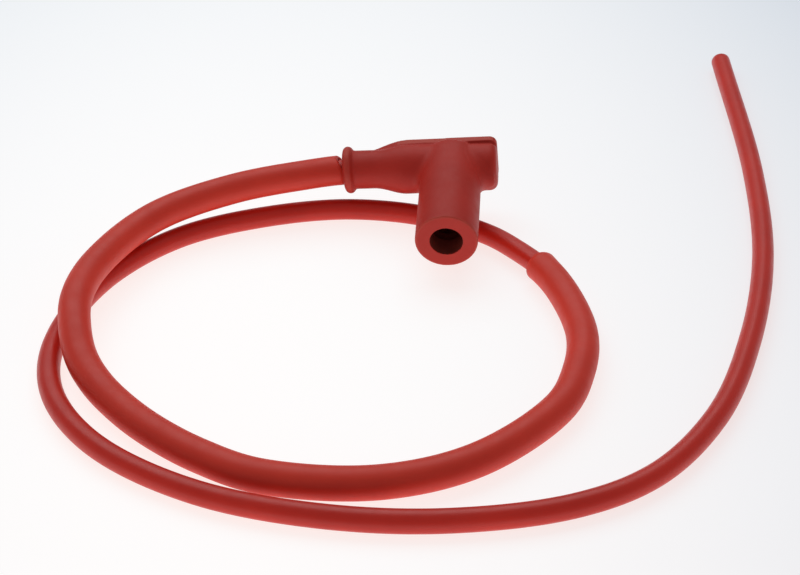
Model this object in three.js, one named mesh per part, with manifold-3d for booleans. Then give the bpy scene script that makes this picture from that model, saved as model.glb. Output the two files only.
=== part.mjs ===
// A spark plug lead: a thin silicone lead laid in a loop, a thicker protective sleeve slid
// over its plug half, and a moulded right-angle boot that pushes onto the spark plug.
// Millimetres. X points right, Y away from the viewer, Z up. The loop lies on Z = 0.

import * as THREE from "three";
import { mergeVertices } from "three/addons/utils/BufferGeometryUtils.js";
import Module from "manifold-3d";

const wasm = await Module();
wasm.setup();

// Clearance left between two pieces that seat in each other.
const fitGap = 0.3;

// Lead and sleeve.
const leadDiameter = 7;
const sleeveWall = 1.2;
const sleeveLength = 400;
const sleeveToBoot = 1.2;
const bendStep = 20;
const cordSides = 12;

// Arm of the boot, measured from the barrel's axis towards the lead.
const neckDiameter = 12.1;
const armDiameter = 16.5;
const armTaper = 0.7;
const armPastBarrel = 5.2;
const armEndRounding = 2.6;
const flareStart = 15;
const flareLength = 9.6;
const collarDiameter = 15.8;
const collarWidth = 3.4;
const collarAt = 34.8;

// Barrel of the boot, measured from the arm's axis towards the mouth.
const barrelDiameter = 20.3;
const barrelLength = 39.6;
const mouthRounding = 1.1;
const shoulderRounding = 3.2;
const plugBore = 10.6;
const plugDepth = 17;
const boreEdge = 0.4;

// Flat plate moulded along the back of the elbow.
const plateHeight = 15.9;
const plateNarrowing = 1;
const plateThickness = 2.65;
const plateCorner = 2.7;
const plateEdge = 0.6;
const plateTaper = 13;
const plateTipHeight = 5;

// Sweep of rubber in the corners between barrel and arm.
const rootFillet = 3.4;

// Hard insulator inside the barrel.
const housingDiameter = 13.4;
const backWall = 2.5;

// Contact train, from the plug up to the lead.
const plugTerminalBore = 6.7;
const socketWall = 0.8;
const socketLength = 9;
const socketFloor = 1.2;
const slotWidth = 0.9;
const slotLength = 6;
const clipWire = 0.7;
const clipHeight = 3.4;
const clipOpening = 60;
const grooveDepth = 0.4;
const resistorDiameter = 4.8;
const resistorCap = 1.3;
const springLength = 2;
const springWire = 0.5;
const springTurns = 2;
const contactDiameter = 7.6;
const contactHeight = 5.2;
const screwDiameter = 2;
const screwShoulder = 3.6;
const screwInContact = 2.7;
const screwInLead = 8.2;
const screwPoint = 3;

// How the boot lies: its elbow's place and its turn, droop and roll in degrees.
const elbowPlace = [8.3, 28.6, 18.8];
const bootTurn = -3.65;
const bootDroop = 7;
const bootRoll = -4.4;

const boredSides = 24;
const mouldedSides = 48;

// Sizes that follow from those above.
const leadRadius = leadDiameter / 2;
const sleeveBore = leadRadius + fitGap;
const sleeveRadius = sleeveBore + sleeveWall;
const neckRadius = neckDiameter / 2;
const armRadius = armDiameter / 2;
const flareEnd = flareStart + flareLength;
const barrelRadius = barrelDiameter / 2;
const armFarEnd = barrelRadius + armPastBarrel;
const boreRadius = plugBore / 2;
const plateBack = neckRadius;
const plateFront = plateBack - plateThickness;
const barrelTop = plateFront + plateEdge;
const collarFace = collarAt + collarWidth / 2;
const housingRadius = housingDiameter / 2;
const cavityRadius = housingRadius + fitGap;
const cavityTop = plateBack - backWall;
const cavityBottom = plugDepth - barrelLength;
const housingTop = cavityTop - fitGap;
const housingBottom = cavityBottom + fitGap;
const leadStart = cavityRadius;
const screwRadius = screwDiameter / 2;
const screwHole = screwRadius + fitGap;
const contactRadius = contactDiameter / 2;
const contactBottom = -contactHeight / 2;
const socketRadius = plugTerminalBore / 2 + socketWall;
const socketBottom = housingBottom + fitGap;
const socketTop = socketBottom + socketLength;
const grooveRadius = socketRadius - grooveDepth;
const clipRadius = grooveRadius + fitGap + clipWire / 2;
const clipAt = socketBottom + clipHeight;
const socketBore = clipRadius + clipWire / 2 + fitGap;
const resistorRadius = resistorDiameter / 2;
const resistorBottom = socketTop + fitGap;
const springTop = contactBottom - fitGap;
const resistorTop = springTop - springLength - fitGap;
const springRadius = resistorRadius - springWire;

const silicone = new THREE.MeshStandardMaterial({ color: 0xaa3c38, roughness: 0.55 });
const bootSilicone = new THREE.MeshStandardMaterial({ color: 0x8c322d, roughness: 0.6 });
const resin = new THREE.MeshStandardMaterial({ color: 0x1c1a1a, roughness: 0.5 });
const brass = new THREE.MeshStandardMaterial({ color: 0xb9975a, roughness: 0.35, metalness: 1 });
const springSteel = new THREE.MeshStandardMaterial({ color: 0x9a9ca0, roughness: 0.3, metalness: 1 });
const ceramic = new THREE.MeshStandardMaterial({ color: 0xd9d4c8, roughness: 0.4 });

// Turns a closed geometry into a solid that can be joined and cut.
function solidOf(geometry) {
  const bare = geometry.clone();
  bare.deleteAttribute("normal");
  bare.deleteAttribute("uv");
  const merged = mergeVertices(bare, 1e-4);
  const corners = merged.index.array;
  const kept = [];
  for (let i = 0; i < corners.length; i += 3) {
    const [a, b, c] = corners.slice(i, i + 3);
    if (a !== b && b !== c && c !== a) kept.push(a, b, c);
  }
  const vertProperties = new Float32Array(merged.attributes.position.array);
  return new wasm.Manifold(new wasm.Mesh({ numProp: 3, vertProperties, triVerts: Uint32Array.from(kept) }));
}

function meshOf(name, solid, material) {
  const faces = solid.getMesh();
  const geometry = new THREE.BufferGeometry();
  geometry.setAttribute("position", new THREE.BufferAttribute(faces.vertProperties, 3));
  geometry.setIndex(new THREE.BufferAttribute(faces.triVerts, 1));
  const mesh = new THREE.Mesh(geometry.toNonIndexed(), material);
  mesh.geometry.computeVertexNormals();
  mesh.name = name;
  return mesh;
}

// Points of an arc in a profile, from one angle to the other, in degrees.
function arc(centreR, centreH, radius, from, to, steps) {
  return Array.from({ length: steps + 1 }, (_, i) => {
    const angle = THREE.MathUtils.degToRad(from + ((to - from) * i) / steps);
    return [centreR + radius * Math.cos(angle), centreH + radius * Math.sin(angle)];
  });
}

// Points of a smooth S from one radius to another.
function easeBetween(fromR, fromH, toR, toH, steps) {
  return Array.from({ length: steps + 1 }, (_, i) => {
    const share = i / steps;
    const eased = (1 - Math.cos(Math.PI * share)) / 2;
    return [fromR + (toR - fromR) * eased, fromH + (toH - fromH) * share];
  });
}

function revolve(profile, sides) {
  return new THREE.LatheGeometry(profile.map(([r, h]) => new THREE.Vector2(r, h)), sides);
}

// A revolved solid that stands on the barrel's axis, its heights along +Z.
function onBarrel(profile, sides = boredSides) {
  return solidOf(revolve(profile, sides).rotateX(Math.PI / 2));
}

// A revolved solid that lies on the arm's axis, its heights along -X.
function onArm(profile, sides = boredSides) {
  return solidOf(revolve(profile, sides).rotateZ(Math.PI / 2));
}

function rod(radius, from, to) {
  return [[0, from], [radius, from], [radius, to], [0, to]];
}

function polygon(radius, sides) {
  return Array.from({ length: sides }, (_, i) => {
    const angle = (2 * Math.PI * i) / sides;
    return new THREE.Vector2(radius * Math.cos(angle), radius * Math.sin(angle));
  });
}

// A path sampled at chosen distances with its section held upright, so that a tube and the
// one inside it bend at the same places.
class StationedPath extends THREE.Curve {
  constructor(route, stations) {
    super();
    this.route = route;
    this.stations = stations;
    this.length = route.getLength();
  }
  shareOfRoute(share) {
    const place = share * (this.stations.length - 1);
    const before = Math.min(Math.floor(place + 1e-6), this.stations.length - 2);
    const [from, to] = this.stations.slice(before, before + 2);
    return THREE.MathUtils.clamp((from + (to - from) * (place - before)) / this.length, 0, 1);
  }
  getPoint(share) {
    return this.route.getPointAt(this.shareOfRoute(share));
  }
  getPointAt(share) {
    return this.getPoint(share);
  }
  getTangentAt(share) {
    return this.route.getTangentAt(this.shareOfRoute(share));
  }
  computeFrenetFrames(segments) {
    const up = new THREE.Vector3(0, 0, 1);
    const tangents = Array.from({ length: segments + 1 }, (_, i) => this.getTangentAt(i / segments));
    const normals = tangents.map((t) => new THREE.Vector3().crossVectors(up, t).normalize());
    const binormals = tangents.map((t, i) => new THREE.Vector3().crossVectors(t, normals[i]));
    return { tangents, normals, binormals };
  }
}

function sweep(outer, bore, sides, path, steps) {
  const section = new THREE.Shape(polygon(outer, sides));
  if (bore) section.holes.push(new THREE.Path(polygon(bore, sides)));
  return new THREE.ExtrudeGeometry(section, { steps, extrudePath: path });
}

// Equal steps from one distance to another, none longer than the bend step.
function stationsFrom(start, end) {
  const steps = Math.ceil((end - start) / bendStep);
  return Array.from({ length: steps }, (_, i) => start + ((end - start) * (i + 1)) / steps);
}

// The boot's barrel, with a softly rounded mouth and shoulder.
function barrelForm() {
  return onBarrel([
    [0, -barrelLength],
    ...arc(barrelRadius - mouthRounding, mouthRounding - barrelLength, mouthRounding, -90, 0, 5),
    ...arc(barrelRadius - shoulderRounding, barrelTop - shoulderRounding, shoulderRounding, 0, 90, 6),
    [0, barrelTop],
  ], mouldedSides);
}

// Radius of the barrel's outside, which draws in round its shoulder.
function barrelRadiusAt(height) {
  const over = Math.min(height - (barrelTop - shoulderRounding), shoulderRounding);
  if (over <= 0) return barrelRadius;
  return barrelRadius - shoulderRounding + Math.sqrt(shoulderRounding ** 2 - over ** 2);
}

// Radius of the arm's body, which draws in a little towards its far end.
function armRadiusAt(distance) {
  return armRadius - (armTaper / 2) * ((flareStart - distance) / (flareStart + armFarEnd));
}

// The boot's arm: round far end, body through the barrel, flare, neck and rolled collar.
function armForm() {
  const lip = collarWidth / 2;
  const lipRadius = collarDiameter / 2 - lip;
  const endRadius = armRadiusAt(-armFarEnd) - armEndRounding;
  return onArm([
    [0, -armFarEnd],
    ...arc(endRadius, armEndRounding - armFarEnd, armEndRounding, -90, 0, 5),
    ...easeBetween(armRadius, flareStart, neckRadius, flareEnd, 10),
    [neckRadius, collarAt - lip - plateEdge / 2],
    ...arc(lipRadius, collarAt, lip, -75, 90, 9),
    [0, collarFace],
  ], mouldedSides);
}

// Outline of the back plate, with round corners, drawn in a little along the arm and then to
// a narrow tip at the neck.
function plateOutline() {
  const half = plateHeight / 2;
  const right = armFarEnd;
  const narrow = half - plateNarrowing / 2;
  const taper = easeBetween(narrow, flareStart, plateTipHeight / 2, flareStart + plateTaper, 8);
  const outline = new THREE.Shape();
  outline.moveTo(-flareStart, -narrow);
  outline.lineTo(right - plateCorner, -half);
  outline.absarc(right - plateCorner, -half + plateCorner, plateCorner, -Math.PI / 2, 0);
  outline.absarc(right - plateCorner, half - plateCorner, plateCorner, 0, Math.PI / 2);
  for (const [height, along] of taper) outline.lineTo(-along, height);
  for (const [height, along] of taper.slice(1).reverse()) outline.lineTo(-along, -height);
  return outline;
}

function plateForm() {
  const geometry = new THREE.ExtrudeGeometry(plateOutline(), {
    depth: plateThickness - 2 * plateEdge,
    bevelThickness: plateEdge,
    bevelSize: plateEdge,
    bevelOffset: -plateEdge,
    bevelSegments: 3,
    curveSegments: 6,
  });
  return solidOf(geometry.translate(0, 0, plateFront + plateEdge));
}

// The sweep of rubber in the corner between barrel and arm, on the lead's side or on the far
// side. Its section is laid round the arm: along the arm, round the corner, along the barrel.
// It is widest in front and runs out towards the plate.
function rootForm(side) {
  const sections = Array.from({ length: mouldedSides }, (_, i) => {
    const angle = (2 * Math.PI * i) / mouldedSides;
    const offArm = new THREE.Vector3(0, Math.sin(angle), -Math.cos(angle));
    const radius = armRadiusAt(side * barrelRadius);
    const corner = offArm.clone().multiplyScalar(radius);
    const barrelHere = barrelRadiusAt(corner.z);
    corner.x = -side * Math.sqrt(Math.max(barrelHere ** 2 - corner.y ** 2, fitGap));
    const offBarrel = new THREE.Vector3(corner.x, corner.y, 0).normalize();
    const upBarrel = offArm.clone().addScaledVector(offBarrel, -offArm.dot(offBarrel)).normalize();
    const reach = Math.max(rootFillet * Math.cos(angle / 2) ** 4, fitGap);
    const onArmSide = corner.clone().add(new THREE.Vector3(-side * reach, 0, 0));
    const onBarrelSide = corner.clone().addScaledVector(upBarrel, reach);
    const round = new THREE.QuadraticBezierCurve3(onArmSide, corner, onBarrelSide).getPoints(5);
    const inside = corner.clone().addScaledVector(offArm, -fitGap * 3).addScaledVector(offBarrel, -fitGap * 3);
    onArmSide.addScaledVector(offArm, -fitGap);
    onBarrelSide.addScaledVector(offBarrel, -fitGap);
    return [inside, onArmSide, ...round.slice(1, -1), onBarrelSide];
  });
  const count = sections[0].length;
  const corners = [];
  sections.forEach((_, i) => {
    const [here, next] = [i * count, ((i + 1) % mouldedSides) * count];
    for (let k = 0; k < count; k++) {
      const after = (k + 1) % count;
      const quad = [here + k, here + after, next + after, next + k];
      if (side > 0) quad.reverse();
      corners.push(quad[0], quad[1], quad[2], quad[0], quad[2], quad[3]);
    }
  });
  const geometry = new THREE.BufferGeometry().setFromPoints(sections.flat());
  return solidOf(geometry.setIndex(corners));
}

function elbowBoot() {
  const reach = 2 * barrelLength;
  const behind = new THREE.BoxGeometry(reach, reach, reach).translate(0, 0, plateBack + reach / 2);
  const forms = barrelForm().add(armForm()).add(plateForm()).add(rootForm(1)).add(rootForm(-1));
  const outer = forms.subtract(solidOf(behind));
  const plugSpace = onBarrel([
    [0, -barrelLength - 1],
    [boreRadius + boreEdge, -barrelLength - 1],
    [boreRadius + boreEdge, -barrelLength],
    [boreRadius, boreEdge - barrelLength],
    [boreRadius, cavityBottom],
    [cavityRadius, cavityBottom],
    [cavityRadius, cavityTop],
    [0, cavityTop],
  ], 36);
  const leadSpace = onArm(rod(leadRadius + fitGap, cavityRadius / 2, collarFace + 1), 24);
  return outer.subtract(plugSpace).subtract(leadSpace);
}

function terminalHousing() {
  const shell = onBarrel(rod(housingRadius, housingBottom, housingTop), 32);
  const contactSeat = contactBottom - fitGap;
  const bore = onBarrel([
    [0, housingBottom - 1],
    [socketBore, housingBottom - 1],
    [socketBore, socketTop + fitGap],
    [resistorRadius + fitGap, socketTop + fitGap],
    [resistorRadius + fitGap, contactSeat],
    [contactRadius + fitGap, contactSeat],
    [contactRadius + fitGap, housingTop + 1],
    [0, housingTop + 1],
  ]);
  const sideHole = onArm(rod(screwShoulder / 2 + fitGap, 0, housingRadius + 1), 16);
  return shell.subtract(bore).subtract(sideHole);
}

// Sprung brass socket for the plug's terminal, with four fingers and a groove for the clip.
function plugTerminal() {
  const inner = plugTerminalBore / 2;
  const halfGroove = clipWire / 2 + fitGap;
  const body = onBarrel([
    [0, socketTop - socketFloor],
    [inner, socketTop - socketFloor],
    [inner, socketBottom + socketWall],
    [inner + socketWall / 2, socketBottom],
    [socketRadius, socketBottom],
    [socketRadius, clipAt - halfGroove],
    [grooveRadius, clipAt - halfGroove],
    [grooveRadius, clipAt + halfGroove],
    [socketRadius, clipAt + halfGroove],
    [socketRadius, socketTop],
    [0, socketTop],
  ], 32);
  const slot = new THREE.BoxGeometry(slotWidth, 3 * socketRadius, 2 * slotLength);
  const across = slot.clone().rotateZ(Math.PI / 2).translate(0, 0, socketBottom);
  return body.subtract(solidOf(slot.translate(0, 0, socketBottom))).subtract(solidOf(across));
}

// An open ring of spring wire that holds the socket's fingers in.
function terminalClip() {
  const half = THREE.MathUtils.degToRad(clipOpening / 2);
  class RingPath extends THREE.Curve {
    getPoint(share) {
      const angle = half + share * 2 * (Math.PI - half);
      return new THREE.Vector3(clipRadius * Math.cos(angle), clipRadius * Math.sin(angle), clipAt);
    }
  }
  return solidOf(sweep(clipWire / 2, 0, 8, new RingPath(), 24));
}

// Ceramic rod between two metal end caps.
function resistor() {
  const waist = resistorRadius - resistorCap / 6;
  return onBarrel([
    [0, resistorBottom],
    [resistorRadius, resistorBottom],
    [resistorRadius, resistorBottom + resistorCap],
    [waist, resistorBottom + resistorCap],
    [waist, resistorTop - resistorCap],
    [resistorRadius, resistorTop - resistorCap],
    [resistorRadius, resistorTop],
    [0, resistorTop],
  ]);
}

function contactSpring() {
  const bottom = springTop - springLength + springWire / 2;
  const top = springTop - springWire / 2;
  class CoilPath extends THREE.Curve {
    getPoint(share) {
      const angle = share * springTurns * 2 * Math.PI;
      const height = bottom + (top - bottom) * share;
      return new THREE.Vector3(springRadius * Math.cos(angle), springRadius * Math.sin(angle), height);
    }
  }
  return solidOf(sweep(springWire / 2, 0, 8, new CoilPath(), 14 * springTurns));
}

// Brass block that turns the contact train towards the arm.
function elbowContact() {
  const edge = contactHeight / 12;
  const block = onBarrel([
    [0, contactBottom],
    [contactRadius - edge, contactBottom],
    [contactRadius, contactBottom + edge],
    [contactRadius, -contactBottom - edge],
    [contactRadius - edge, -contactBottom],
    [0, -contactBottom],
  ], 32);
  const holeStart = contactRadius - screwInContact - fitGap;
  return block.subtract(onArm(rod(screwHole, holeStart, contactRadius + 1), 16));
}

// Pointed pin that is screwed into the block and runs into the lead's core.
function leadScrew() {
  const tip = leadStart + screwInLead;
  return onArm([
    [0, contactRadius - screwInContact],
    [screwRadius, contactRadius - screwInContact],
    [screwRadius, contactRadius + fitGap],
    [screwShoulder / 2, contactRadius + fitGap],
    [screwShoulder / 2, housingRadius],
    [screwRadius, housingRadius],
    [screwRadius, tip - screwPoint],
    [0, tip],
  ], 16);
}

// The boot lies on its side, its mouth towards the viewer and its arm to the left.
const bootPose = new THREE.Group();
const toRadians = THREE.MathUtils.degToRad;
bootPose.rotation.set(toRadians(bootDroop), toRadians(bootRoll), toRadians(bootTurn), "ZXY");
bootPose.position.set(...elbowPlace);
const boot = new THREE.Group();
boot.rotation.x = -Math.PI / 2;
bootPose.add(boot);
bootPose.updateMatrixWorld(true);

function onArmAxis(distance) {
  return new THREE.Vector3(-distance, 0, 0).applyMatrix4(boot.matrixWorld);
}

// The lead's route: straight in the boot's arm, down over the lead's own second turn on the
// left, round the front to the sleeve's end, under the barrel, round once more and away.
const seatedPoints = [leadStart, collarFace - 4, collarFace + sleeveToBoot].map(onArmAxis);
const freePoints = [
  [-39.5, 28.5, 16], [-64, 21.8, 14.5], [-88.6, 7, 12.8], [-104.5, -20, 12.4],
  [-108.6, -40, 12.3], [-107.6, -53, 10.4], [-104.5, -64.7, 7.7], [-99.3, -74.7, 6],
  [-91.8, -84.9, 5.1], [-80.5, -97.3, 5], [-65.2, -109.5, 5], [-47.8, -118.4, 5],
  [-15.6, -121.2, 5], [12, -111.6, 5], [37.1, -87, 5], [44.4, -68.2, 5],
  [46.7, -51, 5], [44.2, -33, 5], [38.4, -15.8, 5.15], [29.9, -1.3, 4.2],
  [19.5, 10.7, 3.65], [-0.3, 22, 3.5], [-26.6, 26.5, 3.5], [-54.7, 21.5, 3.5],
  [-81.1, 9.2, 3.5], [-101.1, -12.5, 3.5], [-112.5, -40, 3.5], [-114.5, -64.1, 3.5],
  [-108.7, -84.4, 3.5], [-93.1, -105.3, 3.5], [-64.3, -124.1, 3.5], [-29.7, -133.9, 3.5],
  [4.5, -135.7, 3.5], [39.1, -129.3, 3.5], [62.4, -116, 3.5], [82.9, -89.1, 3.5],
  [98, -51, 3.5], [109.1, -4, 3.5], [114, 52, 3.5],
].map((p) => new THREE.Vector3(...p));
const freeEnd = new THREE.Vector3(114, 135.7, 3.5);
const route = new THREE.CatmullRomCurve3([...seatedPoints, ...freePoints, freeEnd]);
route.arcLengthDivisions = 4000;

const seatedLength = collarFace - leadStart;
const sleeveStart = seatedLength + sleeveToBoot;
const sleeveEnd = sleeveStart + sleeveLength;
const sleeveStations = [sleeveStart, ...stationsFrom(sleeveStart, sleeveEnd)];
const leadStations = [0, seatedLength, ...sleeveStations, ...stationsFrom(sleeveEnd, route.getLength())];

function along(stations, outer, bore) {
  const path = new StationedPath(route, stations);
  return solidOf(sweep(outer, bore, cordSides, path, stations.length - 1));
}

// The lead, with a hole in its core where the screw has gone in.
function ignitionLead() {
  const screwSpace = revolve(rod(screwHole, leadStart - 1, leadStart + screwInLead + fitGap), 16);
  screwSpace.rotateZ(Math.PI / 2).applyMatrix4(boot.matrixWorld);
  return along(leadStations, leadRadius, 0).subtract(solidOf(screwSpace));
}

boot.add(
  meshOf("elbow_boot", elbowBoot(), bootSilicone),
  meshOf("terminal_housing", terminalHousing(), resin),
  meshOf("plug_terminal", plugTerminal(), brass),
  meshOf("terminal_clip", terminalClip(), springSteel),
  meshOf("resistor", resistor(), ceramic),
  meshOf("contact_spring", contactSpring(), springSteel),
  meshOf("elbow_contact", elbowContact(), brass),
  meshOf("lead_screw", leadScrew(), brass),
);

const sparkPlugLead = new THREE.Group();
sparkPlugLead.add(
  bootPose,
  meshOf("ignition_lead", ignitionLead(), silicone),
  meshOf("outer_sleeve", along(sleeveStations, sleeveRadius, sleeveBore), silicone),
);

// The origin is under the middle of the part's box, at the height of what it lies on.
const box = new THREE.Box3().setFromObject(sparkPlugLead, true);
const middle = box.getCenter(new THREE.Vector3());
sparkPlugLead.position.set(-middle.x, -middle.y, -box.min.z);

export default sparkPlugLead;
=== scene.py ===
"""A silicone spark plug wire with its sleeve and right-angle boot, laid in a loop on a pale floor."""

import math

import bpy
import numpy as np
from mathutils import Matrix, Vector


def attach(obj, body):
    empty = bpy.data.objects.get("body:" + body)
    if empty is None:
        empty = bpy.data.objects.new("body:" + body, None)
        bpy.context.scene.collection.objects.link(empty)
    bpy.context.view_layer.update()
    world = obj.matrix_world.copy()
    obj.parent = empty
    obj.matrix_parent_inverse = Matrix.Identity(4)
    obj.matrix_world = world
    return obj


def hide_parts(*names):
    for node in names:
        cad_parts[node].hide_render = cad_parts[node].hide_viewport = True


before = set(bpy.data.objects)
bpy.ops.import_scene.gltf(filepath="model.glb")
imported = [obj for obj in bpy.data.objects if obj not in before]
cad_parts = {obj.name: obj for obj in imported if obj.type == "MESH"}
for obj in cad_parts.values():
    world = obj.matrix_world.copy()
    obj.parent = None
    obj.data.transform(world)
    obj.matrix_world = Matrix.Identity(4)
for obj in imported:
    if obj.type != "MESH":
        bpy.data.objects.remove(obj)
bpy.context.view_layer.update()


def deselect():
    for piece in list(bpy.context.selected_objects):
        piece.select_set(False)


# The loaded nodes come in selected, and an operator would act on them too.
deselect()

MM = 0.001
UP = Vector((0, 0, 1))

# Sets the middle of the laid part's box over the origin.
SHIFT = Vector((-0.016, 1.877, 0.092)) * MM

# The boot's own axes: the arm runs along -X, the barrel's mouth is at -Z, Y is across.
ELBOW = Vector((8.3, 28.6, 18.8)) * MM + SHIFT
TURN, DROOP, ROLL = (math.radians(angle) for angle in (-3.65, 7.0, -4.4))
BOOT = (
    Matrix.Translation(ELBOW)
    @ Matrix.Rotation(TURN, 4, "Z")
    @ Matrix.Rotation(DROOP, 4, "X")
    @ Matrix.Rotation(ROLL, 4, "Y")
    @ Matrix.Rotation(math.radians(-90), 4, "X")
)

# The camera: its place, the angle that it looks down by, in degrees, and its lens.
CAMERA_PLACE = Vector((-9.0, -552.0, 354.7)) * MM + SHIFT
CAMERA_DOWN = 33.5
CAMERA_LENS, CAMERA_SENSOR = 90.0, 36.0
CAMERA_NEAR, CAMERA_FAR = 0.01, 20.0

# The lead and the sleeve round it, in metres.
LEAD_RADIUS = 3.5 * MM
SLEEVE_RADIUS, SLEEVE_BORE = 5.0 * MM, 3.8 * MM
CUT_ROUND = 0.15 * MM
RING_STEP = 0.0016
LEAD_SIDES, SLEEVE_SIDES = 36, 40

# The lead's inner end takes the screw. Its cut end shows the core.
SCREW_HOLE, SCREW_HOLE_DEPTH, SCREW_POINT = 1.3 * MM, 8.5 * MM, 0.3
CORE_RADIUS, CORE_SUNK = 1.45 * MM, 0.5 * MM
STRAND_RADIUS, STRAND_SIDES = 0.27 * MM, 10
STRAND_PITCH, STRAND_TWIST = 2.05 * STRAND_RADIUS, 0.2
STRAND_RINGS = ((1, 6), (2, 12))
STRAND_DEPTH, STRAND_EDGE, STRAND_TIP = 1.6 * MM, 0.06 * MM, 0.7
STRAND_UNEVEN, STRAND_SHUFFLE, STRAND_STEPS = 0.05 * MM, 7, 5

# Along the arm from the barrel's axis, in millimetres: where the lead starts and the collar ends, and the
# bare lead between collar and sleeve. The sleeve's own start and length are along the lead.
LEAD_START, COLLAR_FACE, SLEEVE_GAP = 7.0, 36.5, 1.2
SLEEVE_START = COLLAR_FACE - LEAD_START + SLEEVE_GAP
SLEEVE_LENGTH = 400.0
SLEEVE_SPAN = (SLEEVE_START * MM, (SLEEVE_START + SLEEVE_LENGTH) * MM)

# Where the sleeve's ends depart from a square cut: how far along that reaches, and by how many millimetres.
END_NEAR, END_REACH = 12 * MM, 8 * MM
START_FORWARD, START_BACK, START_BACK_FROM, START_BACK_EASE = 1.1, 2.4, 0.25, 1.3
FAR_END_LIFT, FAR_END_SHORT = 0.6, 0.9

# Where the lead runs after the boot, to its cut end, in millimetres.
ROUTE = [
    (-39.5, 28.5, 16), (-64, 21.8, 14.5), (-88.6, 7, 12.8), (-104.5, -20, 12.4),
    (-108.6, -40, 12.3), (-107.6, -53, 10.4), (-104.5, -64.7, 7.7), (-99.3, -74.7, 6),
    (-91.8, -84.9, 5.1), (-80.5, -97.3, 5), (-65.2, -109.5, 5), (-47.8, -118.4, 5),
    (-15.6, -121.2, 5), (12, -111.6, 5), (37.1, -87, 5), (44.4, -68.2, 5),
    (46.7, -51, 5), (44.2, -33, 5), (38.4, -15.8, 5.15), (29.9, -1.3, 4.2),
    (19.5, 10.7, 3.65), (-0.3, 22, 3.5), (-26.6, 26.5, 3.5), (-54.7, 21.5, 3.5),
    (-81.1, 9.2, 3.5), (-101.1, -12.5, 3.5), (-112.5, -40, 3.5), (-114.5, -64.1, 3.5),
    (-108.7, -84.4, 3.5), (-93.1, -105.3, 3.5), (-64.3, -124.1, 3.5), (-29.7, -133.9, 3.5),
    (4.5, -135.7, 3.5), (39.1, -129.3, 3.5), (62.4, -116, 3.5), (82.9, -89.1, 3.5),
    (98, -51, 3.5), (109.1, -4, 3.5), (114, 52, 3.5), (114, 135.7, 3.5),
]

# The route inside the boot passes this far before the collar's face, in millimetres. The way it runs is
# read from a short step, in metres.
LEAD_INSIDE_COLLAR = 4.0
POINTS_PER_SPAN = 60
WAY_STEP = 0.0008

# The boot, in millimetres on its own axes. Heights run along the barrel's axis, and distances along the arm.
BARREL_R, BARREL_LONG, BARREL_TOP, SHOULDER, MOUTH_ROUND = 10.15, 39.6, 4.0, 3.2, 0.45
ARM_R, ARM_TAPER, ARM_END, ARM_END_ROUND, NECK_R = 8.55, 0.4, 15.35, 2.6, 6.45
FLARE = (15.0, 26.2)
COLLAR_AT, COLLAR_R, COLLAR_LIP, COLLAR_FOOT = 34.5, 7.9, 1.7, 0.3
COLLAR_LEAN, LEAN_FROM, LEAN_ACROSS, LEAN_UP = 0.045, 0.4, 0.77, -0.64
PLATE_FRONT, PLATE_BACK = 3.4, 6.05
PLATE_HALF, PLATE_NARROW, PLATE_CORNER, PLATE_TIP = 8.1, 7.6, 2.7, 2.5
PLATE_TAPER = (FLARE[0] - 0.7, FLARE[0] + 17.3)
STEP_IN, STEP_FROM, STEP_FADE = 0.1, 0.8, 6.0

# The sweep of rubber between barrel and arm: its size on the arm's side and the far side, and at its least.
# It stays off the barrel's axis, where the two directions of the corner would be lost.
ROOT = {1: 3.4, -1: 4.8}
ROOT_LEAST, ROOT_SUNK, ROOT_EDGE_SUNK = 0.3, 0.9, 0.3
ROOT_CURVE = 9
OFF_AXIS_SQUARED = 0.3

# The spaces in the boot: the plug's bore with its two ribs, the housing's seat and the lead's seat.
BORE_R, BORE_TOP, BORE_LEAD_IN = 5.3, -22.6, ((5.5, -0.8), (5.4, -0.01), (5.3, 0.3))
RIBS, RIB_HIGH, RIB_CREST, RIB_FOOT = (-32.75, -29.25), 0.25, 0.35, 0.85
HOUSING_R, HOUSING_TOP = 7.0, 3.55
LEAD_SEAT_R, LEAD_SEAT_START, LEAD_SEAT_END = 3.8, 3.0, COLLAR_FACE + 1.0

# The bore's painted shade: how near to its wall the faces are that count, and how far they stay below its
# top.
SHADE_NEAR, SHADE_BELOW = 0.06, 0.1

# The room behind the plate that is cut away to leave its back flat.
BEHIND_LONG, BEHIND_WIDE, BEHIND_DEEP = 60, 30, 8

# How the boot's forms are made one: the size of the skin's facets, how much it is softened, and the angle
# in degrees past which an edge stays sharp.
SKIN_FACET, SKIN_SOFT, SKIN_ROUNDS = 0.29 * MM, 0.5, 5
SHARP_ANGLE = 38

# A turned form: its sides, the small discs that it starts and ends with, and the turn from +Z to the arm.
ROUND_SIDES = 96
SMALL_DISC, MOUTH_DISC = 1.0, 5.0
ALONG_ARM = Matrix.Rotation(math.radians(-90), 4, "Y")

# Where the boot is painted paler as a highlight, and how much.
RIM_REACH = 0.9
EDGE_HIGHLIGHT, EDGE_BAND, EDGE_END_BAND, EDGE_ABOVE = 0.8, 0.5, 0.6, 0.3
CREST_HIGHLIGHT, CREST_ALONG, CREST_BAND = 0.5, 1.0, 0.3

# The floor: where it is brightest, its glow there and far off, its tint, and the light that it gives.
FLOOR_SIZE, FLOOR_PLACE = 6.0, (0, 1.0, -0.0002)
FLOOR_BRIGHTEST = (-0.067, -0.086, 0.0)
FLOOR_STRETCH = (2.0, 1.05, 0.0)
FLOOR_FADE_END = 0.3
FLOOR_GLOW, FLOOR_GLOW_FAR = (0.935, 0.805, 0.775), (0.60, 0.52, 0.55)
FLOOR_GIVES, FLOOR_GIVES_FAR = (1.0, 0.98, 0.97), (0.55, 0.54, 0.55)
FLOOR_TINT, FLOOR_FELT = (0.095, 0.26, 0.30), (0.84, 0.84, 0.84)

# The lamp above the part, and the even light from all round.
LAMP_PLACE, LAMP_SIZE, LAMP_POWER = (-0.2, 0.7, 1.15), (1.6, 1.1), 11.5
ROOM_LIGHT = 0.32


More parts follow.
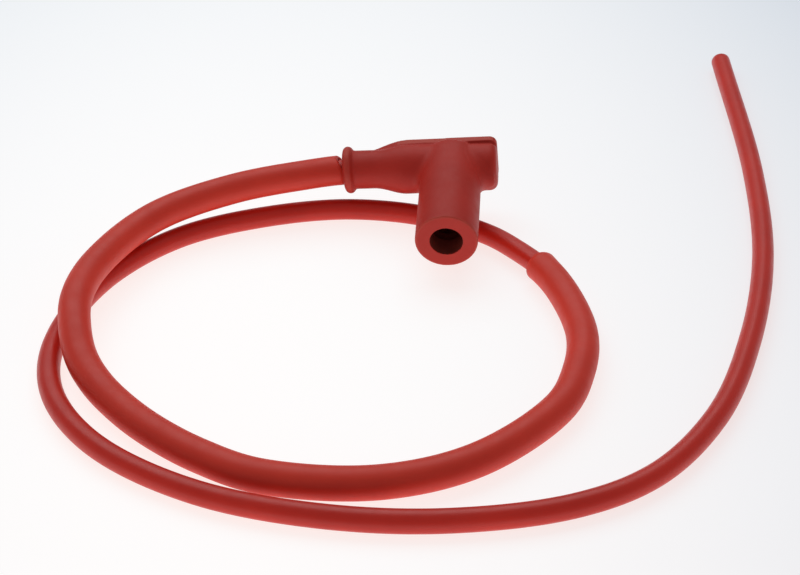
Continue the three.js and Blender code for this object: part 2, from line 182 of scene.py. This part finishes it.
def clamp(value):
    return min(max(value, 0.0), 1.0)


def place_camera():
    data = bpy.data.cameras.new("camera")
    data.sensor_width = CAMERA_SENSOR
    data.lens = CAMERA_LENS
    data.clip_start = CAMERA_NEAR
    data.clip_end = CAMERA_FAR
    camera = bpy.data.objects.new("camera", data)
    camera.location = CAMERA_PLACE
    camera.rotation_euler = (math.radians(90.0 - CAMERA_DOWN), 0.0, 0.0)
    bpy.context.scene.collection.objects.link(camera)
    bpy.context.scene.camera = camera


place_camera()


# Cords

def arm_point(distance):
    """A point on the arm's axis, in metres, from its distance to the barrel's axis in millimetres."""
    return BOOT @ Vector((-distance * MM, 0.0, 0.0))


def smooth_route(points):
    """A rounded line through the points, evenly eased by the distance between them."""
    points = np.array(points, float)
    before = 2 * points[0] - points[1]
    after = 2 * points[-1] - points[-2]
    points = np.vstack([before, points, after])
    line = []
    for i in range(1, len(points) - 2):
        p0, p1, p2, p3 = points[i - 1:i + 3]
        g0, g1, g2 = (math.sqrt(np.linalg.norm(b - a)) for a, b in ((p0, p1), (p1, p2), (p2, p3)))
        t1 = ((p1 - p0) / g0 - (p2 - p0) / (g0 + g1) + (p2 - p1) / g1) * g1
        t2 = ((p2 - p1) / g1 - (p3 - p1) / (g1 + g2) + (p3 - p2) / g2) * g1
        for x in np.linspace(0.0, 1.0, POINTS_PER_SPAN, endpoint=False):
            bend = p1 + t1 * x + (3 * (p2 - p1) - 2 * t1 - t2) * x ** 2
            line.append(bend + (2 * (p1 - p2) + t1 + t2) * x ** 3)
    line.append(points[-2])
    return np.array(line)


in_boot = [LEAD_START, COLLAR_FACE - LEAD_INSIDE_COLLAR, COLLAR_FACE + SLEEVE_GAP]
line = smooth_route(
    [tuple(arm_point(distance)) for distance in in_boot] + [tuple(Vector(p) * MM + SHIFT) for p in ROUTE]
)
reached = np.concatenate([[0.0], np.cumsum(np.linalg.norm(np.diff(line, axis=0), axis=1))])
LEAD_LENGTH = float(reached[-1])


def on_route(distance):
    """The point at this distance along the lead, and the way the lead runs there."""
    near = min(max(distance, WAY_STEP), LEAD_LENGTH - WAY_STEP)
    point, ahead, behind = (
        np.array([np.interp(at, reached, line[:, k]) for k in range(3)])
        for at in (distance, near + WAY_STEP, near - WAY_STEP)
    )
    way = ahead - behind
    return Vector(point), Vector(way / np.linalg.norm(way))


def across(way):
    """The two directions square to the way the lead runs: to its left, and to its top."""
    left = UP.cross(way).normalized()
    return left, way.cross(left)


def make_mesh(name, points, faces):
    mesh = bpy.data.meshes.new(name)
    mesh.from_pydata([tuple(p) for p in points], [], faces)
    mesh.update()
    piece = bpy.data.objects.new(name, mesh)
    bpy.context.scene.collection.objects.link(piece)
    return piece


def bands(rings, sides, joined=False, first=0):
    """The faces between each ring of corners and the next, and from the last to the first if joined."""
    faces = []
    for ring in range(rings if joined else rings - 1):
        a, b = first + ring * sides, first + (ring + 1) % rings * sides
        for k in range(sides):
            n = (k + 1) % sides
            faces.append((a + k, a + n, b + n, b + k))
    return faces


def caps(rings, sides, first=0):
    last = first + (rings - 1) * sides
    return [tuple(reversed(range(first, first + sides))), tuple(range(last, last + sides))]


def tube(name, stations, sides, joined):
    """A round skin along the route, from (distance, radius) stations. It ends in caps, or joins back to
    its first ring. Its UV map holds the share of the way round and the distance along, in metres."""
    points = []
    for distance, radius in stations:
        centre, way = on_route(distance)
        left, top = across(way)
        for k in range(sides):
            angle = 2 * math.pi * k / sides
            points.append(centre + left * (radius * math.cos(angle)) + top * (radius * math.sin(angle)))
    faces = bands(len(stations), sides, joined)
    if not joined:
        faces += caps(len(stations), sides)
    piece = make_mesh(name, points, faces)
    layer = piece.data.uv_layers.new(name="along")
    for face in piece.data.polygons:
        corners = [piece.data.loops[c].vertex_index for c in face.loop_indices]
        wraps = max(v % sides for v in corners) - min(v % sides for v in corners) > sides // 2
        for c, v in zip(face.loop_indices, corners):
            k = v % sides
            share = (k + sides if wraps and k < sides // 2 else k) / sides
            layer.data[c].uv = (share, stations[v // sides][0])
    piece.data.shade_smooth()
    return piece


def steps(start, end):
    """The distances of the rings from start to end, evenly spaced."""
    count = max(1, math.ceil((end - start) / RING_STEP))
    return [start + (end - start) * i / count for i in range(count + 1)]


def make_lead():
    """The lead: one long skin with a hole for the screw at its inner end and a cut core at the other."""
    stations = [
        (SCREW_HOLE_DEPTH, SCREW_HOLE * SCREW_POINT), (SCREW_HOLE_DEPTH, SCREW_HOLE),
        (0.0, SCREW_HOLE), (0.0, LEAD_RADIUS - CUT_ROUND),
    ]
    stations += [(s, LEAD_RADIUS) for s in steps(CUT_ROUND, LEAD_LENGTH - CUT_ROUND)]
    stations += [
        (LEAD_LENGTH, LEAD_RADIUS - CUT_ROUND), (LEAD_LENGTH, CORE_RADIUS),
        (LEAD_LENGTH - CORE_SUNK, CORE_RADIUS),
    ]
    return tube("ignition_lead_skin", stations, LEAD_SIDES, False)


def make_strands():
    """The lead's cut core: a bundle of fine tinned wires, one in the middle and two rings round it, which
    end a little unevenly."""
    places = [(0.0, 0.0)]
    for ring, count in STRAND_RINGS:
        for k in range(count):
            angle = 2 * math.pi * k / count + STRAND_TWIST * ring
            places.append((ring * STRAND_PITCH * math.cos(angle), ring * STRAND_PITCH * math.sin(angle)))
    end, way = on_route(LEAD_LENGTH)
    left, top = across(way)
    points, faces = [], []
    for number, (x, y) in enumerate(places):
        reach = STRAND_UNEVEN * ((number * STRAND_SHUFFLE) % STRAND_STEPS - STRAND_STEPS // 2)
        rows = [
            (-STRAND_DEPTH, STRAND_RADIUS), (reach - STRAND_EDGE, STRAND_RADIUS),
            (reach, STRAND_RADIUS * STRAND_TIP),
        ]
        faces += bands(len(rows), STRAND_SIDES, first=len(points))
        faces += caps(len(rows), STRAND_SIDES, first=len(points))
        for out, radius in rows:
            for k in range(STRAND_SIDES):
                angle = 2 * math.pi * k / STRAND_SIDES
                offset = left * (x + radius * math.cos(angle)) + top * (y + radius * math.sin(angle))
                points.append(end + way * out + offset)
    return make_mesh("core_strands", points, faces)


def near_cut(piece, middle, inwards):
    """Each corner close to a cut end, its offset from the end's middle, and the share of the end's shape
    that it takes, which is 1 at the cut."""
    for corner in piece.data.vertices:
        offset = corner.co - middle
        depth = offset.dot(inwards)
        if offset.length < END_NEAR and depth < END_REACH:
            yield corner, offset, (1 - max(depth, 0.0) / END_REACH) ** 2


def make_sleeve():
    """The sleeve: a thick-walled tube slid over the lead. Its start is cut on a slant, and its far end
    stands a little off the lead on the outer side of the bend."""
    start, end = SLEEVE_SPAN
    along = steps(start + CUT_ROUND, end - CUT_ROUND)
    stations = [(s, SLEEVE_RADIUS) for s in along]
    stations += [(end, SLEEVE_RADIUS - CUT_ROUND), (end, SLEEVE_BORE + CUT_ROUND)]
    stations += [(s, SLEEVE_BORE) for s in reversed(along)]
    stations += [(start, SLEEVE_BORE + CUT_ROUND), (start, SLEEVE_RADIUS - CUT_ROUND)]
    piece = tube("outer_sleeve_skin", stations, SLEEVE_SIDES, True)
    middle, way = on_route(start)
    top = across(way)[1]
    for corner, offset, fade in near_cut(piece, middle, way):
        height = offset.dot(top) / SLEEVE_RADIUS
        back = max(0.0, (height - START_BACK_FROM) / (1 - START_BACK_FROM)) ** START_BACK_EASE
        corner.co += way * ((START_BACK * back - START_FORWARD) * MM * fade)
    middle, way = on_route(end)
    outer = -across(way)[0]
    for corner, offset, fade in near_cut(piece, middle, -way):
        lift = clamp(offset.dot(outer) / SLEEVE_RADIUS)
        corner.co += (outer * FAR_END_LIFT - way * FAR_END_SHORT) * (MM * lift * fade)
    return piece


lead = make_lead()
strands = make_strands()
sleeve = make_sleeve()


# Boot

def use(piece):
    deselect()
    piece.select_set(True)
    bpy.context.view_layer.objects.active = piece


def face_outwards(piece):
    use(piece)
    bpy.ops.object.mode_set(mode="EDIT")
    bpy.ops.mesh.select_all(action="SELECT")
    bpy.ops.mesh.normals_make_consistent(inside=False)
    bpy.ops.object.mode_set(mode="OBJECT")


def apply_modifier(piece, name, kind, **settings):
    modifier = piece.modifiers.new(name, kind)
    for key, value in settings.items():
        setattr(modifier, key, value)
    use(piece)
    bpy.ops.object.modifier_apply(modifier=modifier.name)


def cut(piece, tool):
    """Cuts the tool's shape out of the piece, and takes the tool away."""
    apply_modifier(piece, "cut", "BOOLEAN", operation="DIFFERENCE", object=tool, solver="EXACT")
    bpy.data.objects.remove(tool)


def turned(name, profile):
    """A solid of revolution grown ring by ring along +Z from a disc. The profile lists (radius, height)
    in millimetres."""
    deselect()
    radius, height = profile[0]
    bpy.ops.mesh.primitive_circle_add(
        vertices=ROUND_SIDES, radius=radius * MM, fill_type="NGON", location=(0, 0, height * MM)
    )
    piece = bpy.context.object
    piece.name = name
    bpy.ops.object.transform_apply(location=True, rotation=False, scale=False)
    bpy.ops.object.mode_set(mode="EDIT")
    bpy.ops.mesh.select_all(action="SELECT")
    for next_radius, next_height in profile[1:]:
        rise = (next_height - height) * MM
        bpy.ops.mesh.extrude_region_move(TRANSFORM_OT_translate={"value": (0, 0, rise)})
        grow = next_radius / radius
        bpy.ops.transform.resize(value=(grow, grow, 1.0), center_override=(0, 0, next_height * MM))
        radius, height = next_radius, next_height
    bpy.ops.object.mode_set(mode="OBJECT")
    face_outwards(piece)
    return piece


def slab(name, outline, bottom, top):
    """A flat plate of this outline, extruded from its bottom to its top."""
    points = [Vector((x, y, bottom)) * MM for x, y in outline]
    piece = make_mesh(name, points, [tuple(range(len(points)))])
    use(piece)
    bpy.ops.object.mode_set(mode="EDIT")
    bpy.ops.mesh.select_all(action="SELECT")
    bpy.ops.mesh.extrude_region_move(TRANSFORM_OT_translate={"value": (0, 0, (top - bottom) * MM)})
    bpy.ops.object.mode_set(mode="OBJECT")
    face_outwards(piece)
    return piece


def arc(centre_r, centre_h, radius, start, end, count):
    """Profile points on a circle round this centre, between two angles in degrees."""
    angles = np.radians(np.linspace(start, end, count + 1))
    return [(centre_r + radius * math.cos(a), centre_h + radius * math.sin(a)) for a in angles]


def ease(from_r, from_h, to_r, to_h, count):
    """Profile points that pass smoothly from one radius to another over a height."""
    shares = np.linspace(0.0, 1.0, count + 1)
    eased = (1 - np.cos(math.pi * shares)) / 2
    return [(from_r + (to_r - from_r) * e, from_h + (to_h - from_h) * s) for e, s in zip(eased, shares)]


def boot_barrel():
    profile = [(MOUTH_DISC, -BARREL_LONG)]
    profile += arc(BARREL_R - MOUTH_ROUND, MOUTH_ROUND - BARREL_LONG, MOUTH_ROUND, -90, 0, 6)
    profile += arc(BARREL_R - SHOULDER, BARREL_TOP - SHOULDER, SHOULDER, 0, 90, 10)
    profile += [(SMALL_DISC, BARREL_TOP)]
    return turned("barrel_form", profile)


def barrel_radius(height):
    """The barrel's radius at this height, which its shoulder makes smaller near the top."""
    over = min(height - (BARREL_TOP - SHOULDER), SHOULDER)
    return BARREL_R if over <= 0 else BARREL_R - SHOULDER + math.sqrt(SHOULDER ** 2 - over ** 2)


def arm_radius(distance):
    return ARM_R - ARM_TAPER * (FLARE[0] - distance) / (FLARE[0] + ARM_END)


def boot_arm():
    """The arm, from its rounded end to the collar. The collar leans, and the arm is a little narrower
    where it meets the plate, which leaves the plate's edge proud."""
    end_radius = arm_radius(-ARM_END) - ARM_END_ROUND
    profile = [(SMALL_DISC, -ARM_END)]
    profile += arc(end_radius, ARM_END_ROUND - ARM_END, ARM_END_ROUND, -90, 0, 8)
    profile += ease(ARM_R, FLARE[0], NECK_R, FLARE[1], 16)
    profile += [(NECK_R, COLLAR_AT - COLLAR_LIP - COLLAR_FOOT)]
    profile += arc(COLLAR_R - COLLAR_LIP, COLLAR_AT, COLLAR_LIP, -75, 90, 12)
    profile += [(SMALL_DISC, COLLAR_AT + COLLAR_LIP)]
    piece = turned("arm_form", profile)
    piece.data.transform(ALONG_ARM)
    for corner in piece.data.vertices:
        if corner.co.x < -(COLLAR_AT - COLLAR_LIP - LEAN_FROM) * MM:
            corner.co.x += COLLAR_LEAN * (LEAN_ACROSS * corner.co.y + LEAN_UP * corner.co.z)
        towards_plate = clamp((corner.co.z / MM - STEP_FROM) / (PLATE_FRONT - STEP_FROM))
        under_plate = clamp((FLARE[1] + corner.co.x / MM) / STEP_FADE)
        corner.co.y *= 1.0 - STEP_IN * under_plate * towards_plate ** 2
    return piece


def plate_outline():
    """The back plate's outline: two rounded corners at the arm's end, and a taper towards the collar."""
    taper = ease(PLATE_NARROW, PLATE_TAPER[0], PLATE_TIP, PLATE_TAPER[1], 20)
    corner_x, corner_y = ARM_END - PLATE_CORNER, PLATE_HALF - PLATE_CORNER
    points = [(-along, -height) for height, along in reversed(taper)]
    points += arc(corner_x, -corner_y, PLATE_CORNER, -90, 0, 8)
    points += arc(corner_x, corner_y, PLATE_CORNER, 0, 90, 8)
    points += [(-along, height) for height, along in taper]
    return points


def root_form(side):
    """The sweep of rubber in the corner between barrel and arm, laid round the arm."""
    points = []
    for i in range(ROUND_SIDES):
        angle = 2 * math.pi * i / ROUND_SIDES
        off_arm = Vector((0, math.sin(angle), -math.cos(angle)))
        corner = off_arm * arm_radius(side * BARREL_R)
        corner.x = -side * math.sqrt(max(barrel_radius(corner.z) ** 2 - corner.y ** 2, OFF_AXIS_SQUARED))
        off_barrel = Vector((corner.x, corner.y, 0)).normalized()
        up_barrel = (off_arm - off_barrel * off_arm.dot(off_barrel)).normalized()
        reach = max(ROOT[side] * math.cos(angle / 2) ** 4, ROOT_LEAST)
        foot, head = corner + Vector((-side * reach, 0, 0)), corner + up_barrel * reach
        section = [corner - off_arm * ROOT_SUNK - off_barrel * ROOT_SUNK, foot - off_arm * ROOT_EDGE_SUNK]
        for share in np.linspace(0.0, 1.0, ROOT_CURVE)[1:-1]:
            section.append(foot * (1 - share) ** 2 + corner * (2 * share * (1 - share)) + head * share ** 2)
        section.append(head - off_barrel * ROOT_EDGE_SUNK)
        points += [p * MM for p in section]
    piece = make_mesh("root_form", points, bands(ROUND_SIDES, len(points) // ROUND_SIDES, joined=True))
    face_outwards(piece)
    return piece


def plug_space():
    """The bore for the plug, with a lead-in at the mouth and two low ribs, and the housing's seat above."""
    profile = [(radius, above_mouth - BARREL_LONG) for radius, above_mouth in BORE_LEAD_IN]
    for rib in RIBS:
        profile += [
            (BORE_R, rib - RIB_FOOT), (BORE_R - RIB_HIGH, rib - RIB_CREST),
            (BORE_R - RIB_HIGH, rib + RIB_CREST), (BORE_R, rib + RIB_FOOT),
        ]
    profile += [(BORE_R, BORE_TOP), (HOUSING_R, BORE_TOP)]
    profile += [(HOUSING_R, HOUSING_TOP), (SMALL_DISC, HOUSING_TOP)]
    return turned("plug_space", profile)


def lead_space():
    piece = turned("lead_space", [
        (SMALL_DISC, LEAD_SEAT_START), (LEAD_SEAT_R, LEAD_SEAT_START), (LEAD_SEAT_R, LEAD_SEAT_END),
    ])
    piece.data.transform(ALONG_ARM)
    return piece


def mark_painted_highlights(piece):
    """Notes how much each corner takes the painted highlight: the mouth's rim, the plate's edge and the
    collar's crest.
    """
    painted_highlight = []
    for corner in piece.data.vertices:
        x, y, z = corner.co / MM
        rim = 1.0 - math.hypot(math.hypot(x, y) - BARREL_R, z + BARREL_LONG) / RIM_REACH
        along = clamp((x + FLARE[0]) / (ARM_END + FLARE[0]))
        half = PLATE_NARROW + (PLATE_HALF - PLATE_NARROW) * along
        on_edge = abs(y) > half - EDGE_BAND or x > ARM_END - EDGE_END_BAND
        edge = EDGE_HIGHLIGHT if z > PLATE_FRONT + EDGE_ABOVE and on_edge else 0.0
        on_crest = x < CREST_ALONG - COLLAR_AT and math.hypot(y, z) > COLLAR_R - CREST_BAND
        painted_highlight.append(max(rim, edge, CREST_HIGHLIGHT if on_crest else 0.0, 0.0))
    layer = piece.data.attributes.new("painted_highlight", "FLOAT", "POINT")
    layer.data.foreach_set("value", painted_highlight)


def make_boot():
    """The boot, moulded as one from its forms, cut flat at the back and hollowed. Also gives the faces of the
    bore's wall, which take the painted shade."""
    plate = slab("plate_form", plate_outline(), PLATE_FRONT, PLATE_BACK)
    forms = [plate, boot_barrel(), boot_arm(), root_form(1), root_form(-1)]
    deselect()
    for form in forms:
        form.select_set(True)
    bpy.context.view_layer.objects.active = plate
    bpy.ops.object.join()
    boot = bpy.context.object
    boot.name = "elbow_boot_skin"
    boot.data.name = "elbow_boot_skin"
    apply_modifier(boot, "moulded_as_one", "REMESH", mode="VOXEL", voxel_size=SKIN_FACET)
    apply_modifier(boot, "soft_edges", "SMOOTH", factor=SKIN_SOFT, iterations=SKIN_ROUNDS)
    corners = [(x * BEHIND_LONG, y * BEHIND_WIDE) for x, y in ((-1, -1), (1, -1), (1, 1), (-1, 1))]
    cut(boot, slab("behind_plate", corners, PLATE_BACK, PLATE_BACK + BEHIND_DEEP))
    cut(boot, plug_space())
    cut(boot, lead_space())
    mark_painted_highlights(boot)
    inside = {
        face.index for face in boot.data.polygons
        if math.hypot(face.center.x, face.center.y) < (BORE_R + SHADE_NEAR) * MM
        and face.center.z < (BORE_TOP - SHADE_BELOW) * MM
    }
    boot.data.transform(BOOT)
    use(boot)
    bpy.ops.object.shade_smooth_by_angle(angle=math.radians(SHARP_ANGLE))
    return boot, inside


boot, bore_faces = make_boot()


# Materials

def new_material(name):
    """A new material, its node tree, its shader, and the object's own coordinates."""
    material = bpy.data.materials.new(name)
    material.use_nodes = True
    tree = material.node_tree
    place = tree.nodes.new("ShaderNodeTexCoord").outputs["Object"]
    return material, tree, tree.nodes["Principled BSDF"], place


def noise(tree, place, scale, detail, roughness):
    texture = tree.nodes.new("ShaderNodeTexNoise")
    texture.inputs["Scale"].default_value = scale
    texture.inputs["Detail"].default_value = detail
    texture.inputs["Roughness"].default_value = roughness
    tree.links.new(place, texture.inputs["Vector"])
    return texture.outputs["Fac"]


def ramp(tree, factor, low, high, colours):
    node = tree.nodes.new("ShaderNodeValToRGB")
    for stop, position, colour in zip(node.color_ramp.elements, (low, high), colours):
        stop.position = position
        stop.color = (*colour, 1.0)
    tree.links.new(factor, node.inputs["Fac"])
    return node.outputs["Color"]


def span(tree, factor, low, high, out_low, out_high):
    """The factor's range from low to high, spread over another range."""
    node = tree.nodes.new("ShaderNodeMapRange")
    for key, value in (("From Min", low), ("From Max", high), ("To Min", out_low), ("To Max", out_high)):
        node.inputs[key].default_value = value
    tree.links.new(factor, node.inputs["Value"])
    return node.outputs["Result"]


def maths(tree, operation, first, second):
    node = tree.nodes.new("ShaderNodeMath")
    node.operation = operation
    tree.links.new(first, node.inputs[0])
    tree.links.new(second, node.inputs[1])
    return node.outputs["Value"]


def bump(tree, height, strength, distance, shader):
    node = tree.nodes.new("ShaderNodeBump")
    node.inputs["Strength"].default_value = strength
    node.inputs["Distance"].default_value = distance
    tree.links.new(height, node.inputs["Height"])
    tree.links.new(node.outputs["Normal"], shader.inputs["Normal"])


def paint_highlight(tree, colour, highlight_colour, fleck_noise):
    """The colour, with a paler one painted over it in flecks as a highlight where the piece is marked for it.
    """
    mark = tree.nodes.new("ShaderNodeAttribute")
    mark.attribute_name = "painted_highlight"
    blend = tree.nodes.new("ShaderNodeMix")
    blend.data_type = "RGBA"
    under, over = (socket for socket in blend.inputs if socket.type == "RGBA")
    result = next(socket for socket in blend.outputs if socket.type == "RGBA")
    amount = maths(tree, "MULTIPLY", mark.outputs["Fac"], span(tree, fleck_noise, 0.35, 0.65, 0.5, 1.0))
    tree.links.new(amount, blend.inputs["Factor"])
    tree.links.new(colour, under)
    over.default_value = (*highlight_colour, 1.0)
    return result


def silicone(name, pale, deep, rough, specular, soft, highlight_colour=None):
    """Silicone rubber: a faint cloudiness in the colour, a fine matt skin and a little light let in. Where
    the piece is marked for it, a paler colour is painted on in flecks as a highlight."""
    material, tree, shader, place = new_material(name)
    clouds = noise(tree, place, scale=55.0, detail=3.0, roughness=0.55)
    fleck_noise = noise(tree, place, scale=260.0, detail=4.0, roughness=0.6)
    grain = noise(tree, place, scale=2600.0, detail=2.0, roughness=0.5)
    colour = ramp(tree, clouds, 0.32, 0.68, (deep, pale))
    if highlight_colour:
        colour = paint_highlight(tree, colour, highlight_colour, fleck_noise)
    tree.links.new(colour, shader.inputs["Base Color"])
    tree.links.new(span(tree, fleck_noise, 0.3, 0.7, rough - 0.06, rough + 0.06), shader.inputs["Roughness"])
    bump(tree, grain, 0.12, 0.06 * MM, shader)
    shader.inputs["Specular IOR Level"].default_value = specular
    shader.inputs["Subsurface Weight"].default_value = soft
    shader.inputs["Subsurface Radius"].default_value = (1.0, 0.25, 0.2)
    shader.inputs["Subsurface Scale"].default_value = 1.2 * MM
    shader.inputs["IOR"].default_value = 1.42
    return material


def plain_metal(name, colour, rough, scale):
    """Bare metal with fine duller marks."""
    material, tree, shader, place = new_material(name)
    marks = noise(tree, place, scale, detail=4.0, roughness=0.6)
    dull = tuple(c * 0.8 for c in colour)
    tree.links.new(ramp(tree, marks, 0.35, 0.65, (dull, colour)), shader.inputs["Base Color"])
    tree.links.new(span(tree, marks, 0.3, 0.7, rough, rough + 0.15), shader.inputs["Roughness"])
    bump(tree, marks, 0.1, 0.03 * MM, shader)
    shader.inputs["Metallic"].default_value = 1.0
    return material


def moulded(name, colour, rough, scale):
    """A moulded or glazed surface with faint lighter marks."""
    material, tree, shader, place = new_material(name)
    marks = noise(tree, place, scale, detail=3.0, roughness=0.5)
    lighter = tuple(min(1.0, c * 1.25) for c in colour)
    tree.links.new(ramp(tree, marks, 0.35, 0.65, (colour, lighter)), shader.inputs["Base Color"])
    tree.links.new(span(tree, marks, 0.3, 0.7, rough, rough + 0.1), shader.inputs["Roughness"])
    bump(tree, marks, 0.15, 0.04 * MM, shader)
    return material


lead_red = silicone(
    "lead_silicone", (0.54, 0.020, 0.010), (0.48, 0.016, 0.008), rough=0.38, specular=0.42, soft=0.1,
)
sleeve_red = silicone(
    "sleeve_silicone", (0.615, 0.034, 0.016), (0.56, 0.028, 0.013), rough=0.5, specular=0.42, soft=0.1,
)
# The boot's paler colour on its mouth's rim, its plate's edge and its collar's crest is a painted highlight.
boot_red = silicone(
    "boot_silicone", (0.435, 0.0235, 0.0145), (0.385, 0.0195, 0.0115), rough=0.52, specular=0.28, soft=0.08,
    highlight_colour=(0.47, 0.075, 0.052),
)
# The bore's walls are painted a dark red, as shade.
bore_painted_shade = moulded("painted_bore_shade", (0.12, 0.011, 0.004), rough=0.6, scale=400.0)
tinned = plain_metal("tinned_copper", (0.74, 0.70, 0.66), rough=0.3, scale=3000.0)
brass = plain_metal("turned_brass", (0.72, 0.50, 0.22), rough=0.3, scale=700.0)
steel = plain_metal("spring_wire", (0.58, 0.58, 0.60), rough=0.28, scale=1500.0)
resin = moulded("black_resin", (0.02, 0.02, 0.021), rough=0.45, scale=500.0)
ceramic = moulded("ceramic_rod", (0.62, 0.60, 0.55), rough=0.35, scale=400.0)


def dress(piece, material, record_slot, *nodes):
    """Gives a visible piece its material and hides the nodes that it stands in for. The record slot is not
    used.
    """
    piece.data.materials.clear()
    piece.data.materials.append(material)
    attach(piece, "root")
    if nodes:
        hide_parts(*nodes)


dress(lead, lead_red, "lead_silicone", "ignition_lead")
dress(strands, tinned, "lead_silicone")
dress(sleeve, sleeve_red, "sleeve_silicone", "outer_sleeve")
dress(boot, boot_red, "boot_silicone", "elbow_boot")
# The bore's wall faces take the painted shade.
boot.data.materials.append(bore_painted_shade)
for face in boot.data.polygons:
    face.material_index = 1 if face.index in bore_faces else 0
for node, finish in (
    ("terminal_housing", resin), ("plug_terminal", brass), ("terminal_clip", steel), ("resistor", ceramic),
    ("contact_spring", steel), ("elbow_contact", brass), ("lead_screw", brass),
):
    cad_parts[node].data.materials.clear()
    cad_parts[node].data.materials.append(finish)


# Floor and light

def glowing(tree, colour, glow):
    """A matt surface of this colour with a glow added to it."""
    surface = tree.nodes.new("ShaderNodeBsdfDiffuse")
    surface.inputs["Color"].default_value = (*colour, 1.0)
    lit = tree.nodes.new("ShaderNodeEmission")
    tree.links.new(glow, lit.inputs["Color"])
    both = tree.nodes.new("ShaderNodeAddShader")
    tree.links.new(surface.outputs["BSDF"], both.inputs[0])
    tree.links.new(lit.outputs["Emission"], both.inputs[1])
    return both.outputs["Shader"]


def distance_squared(tree, place):
    """The squared distance from the floor's brightest spot, stretched across the floor."""
    vector = place
    for operation, value in (("SUBTRACT", FLOOR_BRIGHTEST), ("MULTIPLY", FLOOR_STRETCH)):
        node = tree.nodes.new("ShaderNodeVectorMath")
        node.operation = operation
        node.inputs[1].default_value = value
        tree.links.new(vector, node.inputs[0])
        vector = node.outputs["Vector"]
    squared = tree.nodes.new("ShaderNodeVectorMath")
    squared.operation = "DOT_PRODUCT"
    tree.links.new(vector, squared.inputs[0])
    tree.links.new(vector, squared.inputs[1])
    return squared.outputs["Value"]


def make_floor():
    """A bright floor, lit from within a little. The picture and reflections see it near white, with the
    faint warm shadows that such a floor leaves, and darker towards the far right."""
    bpy.ops.mesh.primitive_plane_add(size=FLOOR_SIZE, location=FLOOR_PLACE)
    floor = bpy.context.object
    floor.name = "floor"
    bpy.ops.object.transform_apply(location=True, rotation=False, scale=False)
    material, tree, shader, place = new_material("pale_floor")
    tree.nodes.remove(shader)
    away = distance_squared(tree, place)
    seen = glowing(tree, FLOOR_TINT, ramp(tree, away, 0.0, FLOOR_FADE_END, (FLOOR_GLOW, FLOOR_GLOW_FAR)))
    felt = glowing(tree, FLOOR_FELT, ramp(tree, away, 0.0, FLOOR_FADE_END, (FLOOR_GIVES, FLOOR_GIVES_FAR)))
    path = tree.nodes.new("ShaderNodeLightPath")
    looks = path.outputs["Is Camera Ray"]
    for kind in ("Is Glossy Ray", "Is Transmission Ray"):
        looks = maths(tree, "MAXIMUM", looks, path.outputs[kind])
    choice = tree.nodes.new("ShaderNodeMixShader")
    for socket, source in enumerate((looks, felt, seen)):
        tree.links.new(source, choice.inputs[socket])
    tree.links.new(choice.outputs["Shader"], tree.nodes["Material Output"].inputs["Surface"])
    floor.data.materials.append(material)


def set_light():
    """One wide soft lamp above and behind the part, aimed at its middle, and even light from all round."""
    world = bpy.data.worlds.new("soft_room")
    world.use_nodes = True
    background = world.node_tree.nodes["Background"]
    background.inputs["Color"].default_value = (1.0, 1.0, 1.0, 1.0)
    background.inputs["Strength"].default_value = ROOM_LIGHT
    bpy.context.scene.world = world
    data = bpy.data.lights.new("overhead_box", "AREA")
    data.shape = "RECTANGLE"
    data.size, data.size_y = LAMP_SIZE
    data.energy = LAMP_POWER
    lamp = bpy.data.objects.new("overhead_box", data)
    lamp.location = LAMP_PLACE
    lamp.rotation_euler = (-Vector(LAMP_PLACE)).to_track_quat("-Z", "Y").to_euler()
    bpy.context.scene.collection.objects.link(lamp)


make_floor()
set_light()
bpy.context.scene.view_settings.view_transform = "Standard"
